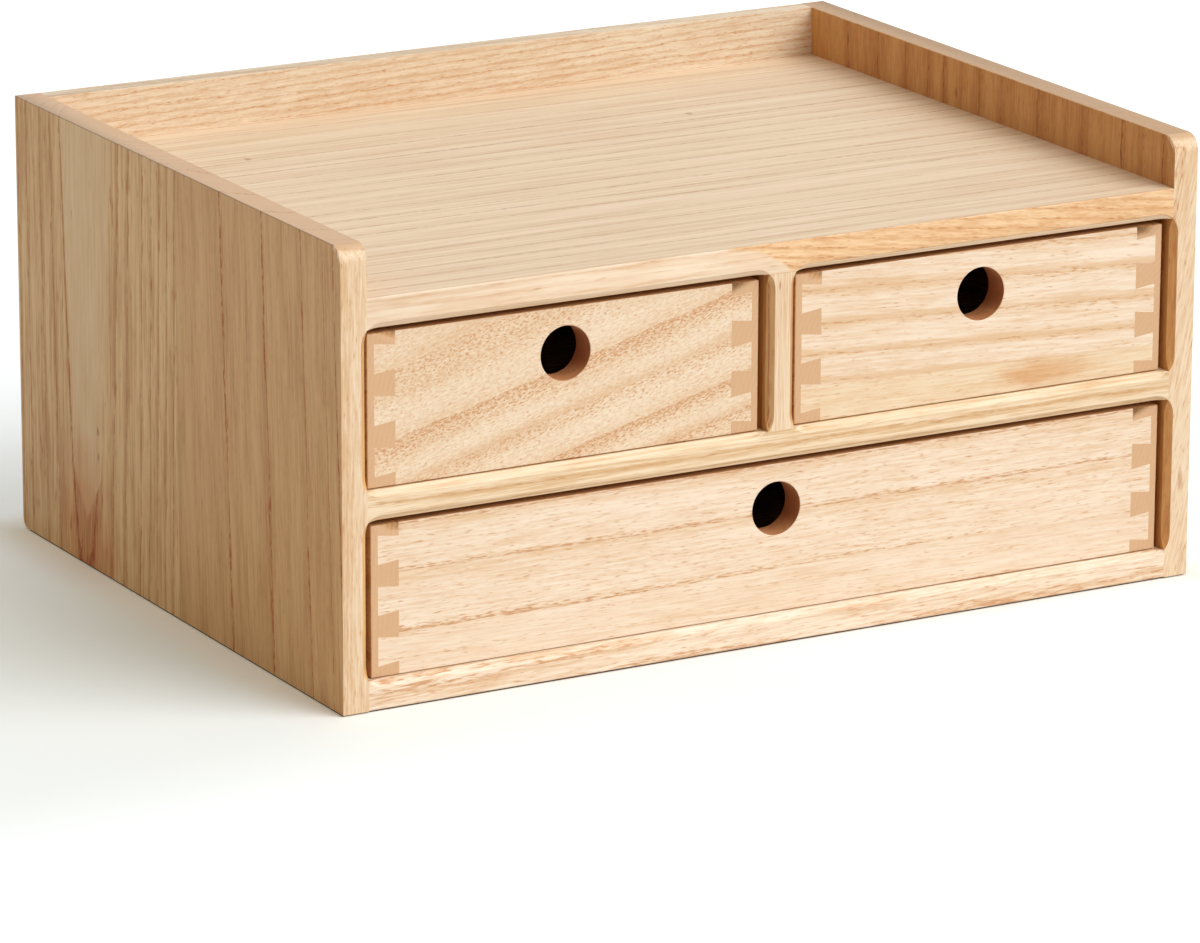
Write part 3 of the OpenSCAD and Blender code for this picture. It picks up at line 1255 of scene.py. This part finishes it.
SLANT = Figure(
    jitter=0.6, band_pores=0.7, loose_pores=0.25, pore_mm=(4.0, 0.8), fleck=0.8, fibre=2.0,
    fibre_mm=(12.0, 1.1))
CALM = Figure(
    jitter=0.6, band_pores=0.5, loose_pores=0.25, pore_mm=(9.0, 0.9), line=0.6, fleck=0.7, fibre=2.8,
    fibre_mm=(40.0, 1.0), late=0.8)
WAVY = Figure(
    jitter=1.1, loose_pores=0.4, pore_mm=(6.0, 0.8), line=0.8, fleck=0.8,
    fibre=2.2, fibre_mm=(18.0, 0.9), late=0.5)
BROKEN_LINES = Figure(
    jitter=0.9, spread=0.8, band=0.35, band_pores=0.7, loose_pores=0.3, pore_mm=(2.6, 0.6), line=0.6,
    line_width=0.14, fleck=0.6, fibre=1.6, fibre_mm=(9.0, 0.8), late=0.5)
LONG_LINES = Figure(
    jitter=0.08, spread=0.3, band=0.13, band_pores=0.7, loose_pores=0.4, pore_mm=(4.5, 0.65), line=0.8,
    line_width=0.05, fleck=0.7, fibre=2.0, fibre_mm=(16.0, 0.9), late=0.3)
UNEVEN = Figure(
    jitter=0.12, spread=0.9, band_pores=0.5, loose_pores=0.3, pore_mm=(4.5, 0.65), line=0.3, fleck=0.6,
    fibre=2.0, fibre_mm=(20.0, 1.0), late=0.7)
SHORT = Figure(
    jitter=0.16, spread=0.5, band=0.65, band_pores=0.7, loose_pores=0.35, pore_mm=(1.6, 0.65), line=0.25,
    line_width=0.08, fleck=0.9, fibre=1.6, fibre_mm=(3.0, 0.9), late=0.35)
SMOOTH = Figure(
    jitter=0.1, spread=0.5, band_pores=0.3, loose_pores=0.25, pore_mm=(4.5, 0.65), line=0.1, fibre=1.8,
    fibre_mm=(20.0, 0.9), late=0.1)
BOX_GRAIN = Figure(band_pores=0.2, loose_pores=0.0, line=0.5)

ALONG_X, ALONG_Y, ALONG_Z = (axis.way for axis in Axis)
KNOT = (150, 96, 60)
SKIN = 0.1 * MM
CHAMFER_WIDTH = 2.7 * MM
HOLE_DROP = 19.0 * MM
# Painted shade: the flat undersides of the top and the shelf, over the drawers, take this darker, warmer
# wood.
UNDERSIDE_SHADE = Log((0.0, 0.3, -0.2), ALONG_X, 3.5, INNER_SHADE, STILL, seed=2.0)
SHELF = Log((0.0, 0.3, -0.2), ALONG_X, 3.5, PALE, CALM, seed=2.0)


def flush(axis: Axis, place: float, turn: int, soft_mm: float = 0.1) -> Seam:
    """Makes a seam square to an axis; turn, 1 or -1, is the way along the axis that lies beyond it."""
    return Seam(axis.way * place, axis.way * turn, soft_mm)


def rings_at(depth_mm: float, foot_mm: float, lines_mm: tuple[float, ...]) -> tuple[float, ...]:
    """Finds the rings that meet a board's face in the given lines.

    Args:
        depth_mm: How far the pith lies from the face.
        foot_mm: Where along the face the pith lies.
        lines_mm: Where along the face the lines are.

    Returns:
        The rings' distances from the pith.
    """
    return tuple(math.hypot(depth_mm, foot_mm - line) for line in lines_mm)


def front_edge(side: str) -> tuple[Seam, Seam]:
    """Makes the seams round a side's front edge, up to where its corner is rounded.

    Args:
        side: The side's node.

    Returns:
        The seams.
    """
    low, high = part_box(side)
    corner = (0.0, low.y, high.z - 6.6 * MM)
    return flush(Axis.Y, low.y + SKIN, -1), Seam(corner, (0.0, -1.0, 1.0), soft_mm=0.2)


def left_side_finish() -> WoodFinish:
    """Chooses the left side's wood: two glued strips, the rear one with pale heartwood that ends in a tip.

    Returns:
        The finish.
    """
    low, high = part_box("left_side")
    pith, lean = (-0.148, 0.0845, 0.1), (-0.025, -0.02, 1.0)
    rear_rings = (36.0, 41.0, 54.6, 59.7, 65.8, 75.3, 81.8, 87.6)
    rear = Log(pith, lean, 6.0, SIDE_PALE, STREAKS, seed=1.0, ring_starts_mm=rear_rings)
    heart = Log(pith, lean, 9.0, HEART, STILL, seed=2.0)
    front_rings = rings_at(90.0, 20.0, (-48.0, -85.0, -119.0, -138.0, -146.5))
    front = Log((-0.110, 0.020, 0.1), (0.0, 0.045, 1.0), 24.0, SIDE_TAN, PLAIN_LINES, seed=7.0,
                ring_starts_mm=front_rings)
    edge = Log((-0.17, 0.1, 0.1), (0.01, 0.0, 1.0), 3.5, FACE, DASHES, seed=4.0)
    heart_back = Seam((low.x, 0.0985, 0.06), (0.0, -1.0, 0.056), soft_mm=0.8)
    heart_front = Seam((low.x, 0.0690, 0.06), (0.0, -1.0, -0.09), soft_mm=0.8)
    tip_back = Seam((low.x, 0.087, 0.024), (0.0, 10.0, -6.5), soft_mm=1.5)
    tip_front = Seam((low.x, 0.082, 0.024), (0.0, -10.0, -7.0), soft_mm=1.5)
    glue = Seam((low.x, -0.004, 0.0), (0.0, -1.0, 0.0), glue=0.35)
    arris = Seam((low.x, 0.0, high.z - SKIN), (-1.0, 0.0, 1.0), glue=0.5)
    strips = (
        Strip(rear),
        Strip(heart, (heart_back,)),
        Strip(rear, (heart_front, tip_back, tip_front)),
        Strip(front, (glue,)),
        Strip(edge, front_edge("left_side")),
        Strip(edge, (arris,)),
    )
    marks = (
        Mark((low.x, 0.073, 0.061), (6.0, 1.4, 2.6), KNOT, 0.7),
        Mark((low.x, 0.073, 0.050), (6.0, 1.2, 2.2), KNOT, 0.6),
        Mark((low.x, 0.085, 0.012), (20.0, 36.0, 48.0), (238, 202, 170), 0.9),
    )
    return WoodFinish("left_side_finish", strips, ALONG_Z, marks)


def right_side_finish() -> WoodFinish:
    """Chooses the right side's wood: a patchy inner face, darker and warmer partly as painted shade, a calm
    outer one and a pale front edge.

    Returns:
        The finish.
    """
    low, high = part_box("right_side")
    inner_rings = rings_at(60.0, 140.0, (83.9, 60.6, 42.6, 29.7, 14.9, 1.2, -16.2, -45.9, -79.6, -110.0))
    # The inner face's darker, warmer tone is partly painted shade.
    inner = Log((0.2485, 0.140, 0.1), ALONG_Z, 15.0, INNER_SHADE, PATCHY, seed=8.0, ring_starts_mm=inner_rings)
    outer = Log((0.290, 0.060, 0.1), (0.0, 0.02, 1.0), 9.0, SIDE_RIGHT, STILL, seed=8.0)
    edge = Log((0.210, 0.1, 0.1), (0.22, 0.0, 1.0), 3.5, FACE, DASHES, seed=6.0)
    skin = flush(Axis.X, low.x + 3.0 * MM, 1, soft_mm=0.2)
    crest = flush(Axis.Z, high.z - 3 * SKIN, 1, soft_mm=0.2)
    strips = (Strip(inner), Strip(outer, (skin, crest)), Strip(edge, front_edge("right_side")))
    marks = (
        Mark((low.x, 0.019, 0.175), (2.0, 1.5, 3.0), (170, 104, 66), 0.6),
        Mark((0.1955, low.y, 0.042), (1.6, 2.0, 7.0), (200, 150, 110), 0.6),
    )
    return WoodFinish("right_side_finish", strips, ALONG_Z, marks)


def top_panel_finish() -> WoodFinish:
    """Chooses the top's wood: a planed face behind a front edge that changes from plain to grainy, and
    painted shade on the underside.

    Returns:
        The finish.
    """
    low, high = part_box("top_panel")
    lines = (128.0, 122.0, 109.0, 92.0, 84.0, 76.0, 62.0, 55.0, 41.0, 30.0, 17.0, 5.0, -7.0, -22.0, -36.0,
             -48.0, -59.0, -79.0, -92.0, -105.0, -117.0, -128.0, -140.0)
    planed = Log((0.0, 0.6, -0.25), ALONG_X, 8.0, TOP_PALE, PLANED, seed=12.0,
                 ring_starts_mm=rings_at(418.5, 600.0, lines))
    grainy = Log((0.0, -0.2, -0.25), (1.0, 0.02, -0.12), 4.0, GRAINY, SLANT, seed=3.0)
    plain = Log((0.0, -0.2, -0.25), ALONG_X, 4.0, POST, STILL, seed=5.0)
    bend = (-0.0257, low.y, 0.1243)
    wedge = RoundSeam(bend, ALONG_Y, soft_mm=0.8, radius_mm=43.5, inside=True)
    strips = (
        Strip(grainy),
        Strip(plain, (wedge, Seam(bend, -ALONG_X, soft_mm=0.8))),
        Strip(planed, (flush(Axis.Y, low.y + 5 * SKIN, 1),)),
        # Painted shade on the flat underside.
        Strip(UNDERSIDE_SHADE, (flush(Axis.Z, low.z + SKIN, -1, soft_mm=0.05),)),
    )
    knots = tuple(
        Mark((x, y, high.z), (2.0, 2.8, 2.0), (176, 132, 100), 0.6)
        for x, y in ((0.0806, 0.0645), (-0.1253, 0.0800)))
    return WoodFinish("top_panel_finish", strips, ALONG_X, knots)


def divider_finish() -> WoodFinish:
    """Chooses the divider's wood, with painted shade: darker tones on the chamfers and on the walls inside
    the openings.

    Returns:
        The finish.
    """
    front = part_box("divider")[0].y
    # Painted shade: darker tones inside the openings and on the chamfers.
    inside = Log((0.0, 0.3, 0.0), ALONG_Z, 4.0, INNER_SHADE, STREAKS, seed=3.0)
    chamfer_shade = Log((0.0, 0.3, 0.0), ALONG_Z, 4.0, CHAMFER_SHADE, STREAKS, seed=3.0)
    post = Log((0.0, 0.3, 0.0), ALONG_Z, 4.0, FACE, CALM, seed=3.0)
    strips = (
        Strip(inside),
        Strip(chamfer_shade, (flush(Axis.Y, front + CHAMFER_WIDTH, -1),)),
        Strip(post, (flush(Axis.Y, front + SKIN, -1),)),
    )
    dash = Mark((-0.0015, front, 0.1505), (0.5, 2.0, 3.0), (190, 130, 90), 0.8)
    return WoodFinish("divider_finish", strips, ALONG_Z, (dash,))


def long_board_finishes() -> list[WoodFinish]:
    """Chooses the woods of the shelf, the base, the back, the drawers' floors and the dowels.

    Returns:
        One finish for each.
    """
    underside = flush(Axis.Z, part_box("shelf")[0].z + SKIN, -1, soft_mm=0.05)
    outside = flush(Axis.Y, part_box("back_panel")[1].y - 5 * SKIN, 1)
    base = Log((0.0, -0.08, -0.02), (1.0, 0.0, 0.02), 4.0, BASE, WAVY, seed=9.0)
    rim = Log((0.0, 0.3, -0.2), (1.0, 0.0, 0.03), 3.2, RIM, BROKEN_LINES, seed=4.0)
    hind = Log((0.0, 0.26, 0.08), ALONG_X, 8.0, GRAINY, STILL, seed=6.0)
    strips = {
        # The shelf's flat underside gets painted shade.
        "shelf": (Strip(SHELF), Strip(UNDERSIDE_SHADE, (underside,))),
        "base_panel": (Strip(base),),
        "back_panel": (Strip(rim), Strip(hind, (outside,))),
        "drawer_floor": (Strip(SHELF),),
        "dowel": (Strip(SHELF),),
    }
    return [WoodFinish(f"{board}_finish", parts, ALONG_X) for board, parts in strips.items()]


def front_finish(drawer: str, face: Log, low: tuple[Strip, ...], marks: tuple[Mark, ...]) -> WoodFinish:
    """Chooses the wood of a drawer's front: its face, the wall of its finger hole and its top edge, the
    last two in darker tones that paint the shade in the hole and in the gap above the drawer.

    Args:
        drawer: The drawer's name.
        face: The log of the face.
        low: A second strip along the face's lower edge, or nothing.
        marks: The face's marks.

    Returns:
        The finish.
    """
    start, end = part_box(f"{drawer}_front")
    hole = ((start.x + end.x) / 2, start.y, end.z - HOLE_DROP)
    # Painted shade inside the finger hole.
    hole_wall_shade = Log((0.0, 0.3, 0.0), ALONG_X, 3.0, HOLE_SHADE, SMOOTH, seed=2.0)
    # Painted shade on the front's top edge, in the gap above the drawer.
    top_edge_shade = Log((0.0, 0.1, -0.1), ALONG_X, 4.0, WALL, SMOOTH, seed=8.0)
    strips = (
        Strip(hole_wall_shade),
        Strip(face, (RoundSeam(hole, ALONG_Y, soft_mm=0.03, radius_mm=11.3),)),
        *low,
        Strip(top_edge_shade, (flush(Axis.Z, end.z - SKIN, 1, soft_mm=0.05),)),
    )
    return WoodFinish(f"{drawer}_front_finish", strips, ALONG_X, marks)


def drawer_finishes() -> list[WoodFinish]:
    """Chooses the woods of the drawers.

    Returns:
        One finish for each drawer front, one for all their sides and one for their backs.
    """
    left = Log((-0.12, -0.0465, 0.176), (0.966, 0.0, 0.259), 9.6, FRONT_DEEP, SHORT, start=0.31, seed=6.0)
    right = Log((0.1, 0.0, 0.261), (1.0, 0.0, -0.05), 9.0, FRONT, UNEVEN, seed=37.0,
                ring_starts_mm=(181.0, 188.7, 197.9, 207.0, 215.3))
    wide = Log((0.0, 0.0035, -0.023), ALONG_X, 9.8, FRONT, LONG_LINES, start=-0.22, seed=4.0)
    low_logs = [Log((0.0, 0.1, -0.1), (1.0, 0.0, -0.02), 4.0, tone, SMOOTH, seed=8.0)
                for tone in (FRONT_CALM, FRONT)]
    right_low = Strip(low_logs[0], (Seam((0.02, 0.0, 0.105), (-0.023, 0.0, -1.0), soft_mm=0.4),))
    wide_low = Strip(low_logs[1], (Seam((0.0, 0.0, 0.0305), (0.012, 0.0, -1.0), soft_mm=0.8),))
    patch = Mark((0.126, -0.147, 0.0968), (28.0, 12.0, 7.5), (238, 208, 178), 0.9)
    side = Log((0.3, 0.0, 0.0), ALONG_Y, 2.2, WALL, BOX_GRAIN, seed=5.0)
    back = Log((0.0, -0.1, -0.05), ALONG_X, 4.0, WALL, BOX_GRAIN, seed=7.0)
    return [
        front_finish("left_drawer", left, (), ()),
        front_finish("right_drawer", right, (right_low,), (patch,)),
        front_finish("wide_drawer", wide, (wide_low,), ()),
        WoodFinish("drawer_side_finish", (Strip(side),), ALONG_Y),
        WoodFinish("drawer_back_finish", (Strip(back),), ALONG_X),
    ]


def main() -> None:
    """Builds the studio, the finishes, the case and the drawers in order."""
    logging.basicConfig(level=logging.INFO, format="%(name)s: %(message)s")
    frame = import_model()
    Studio().build()
    for finish in (
        left_side_finish(), right_side_finish(), top_panel_finish(), divider_finish(),
        *long_board_finishes(), *drawer_finishes(),
    ):
        log.info("finish %s", finish.material().name)
    Case(frame).build()
    for name in ("left", "right", "wide"):
        Drawer(frame, f"{name}_drawer").build()


if __name__ == "__main__":
    main()
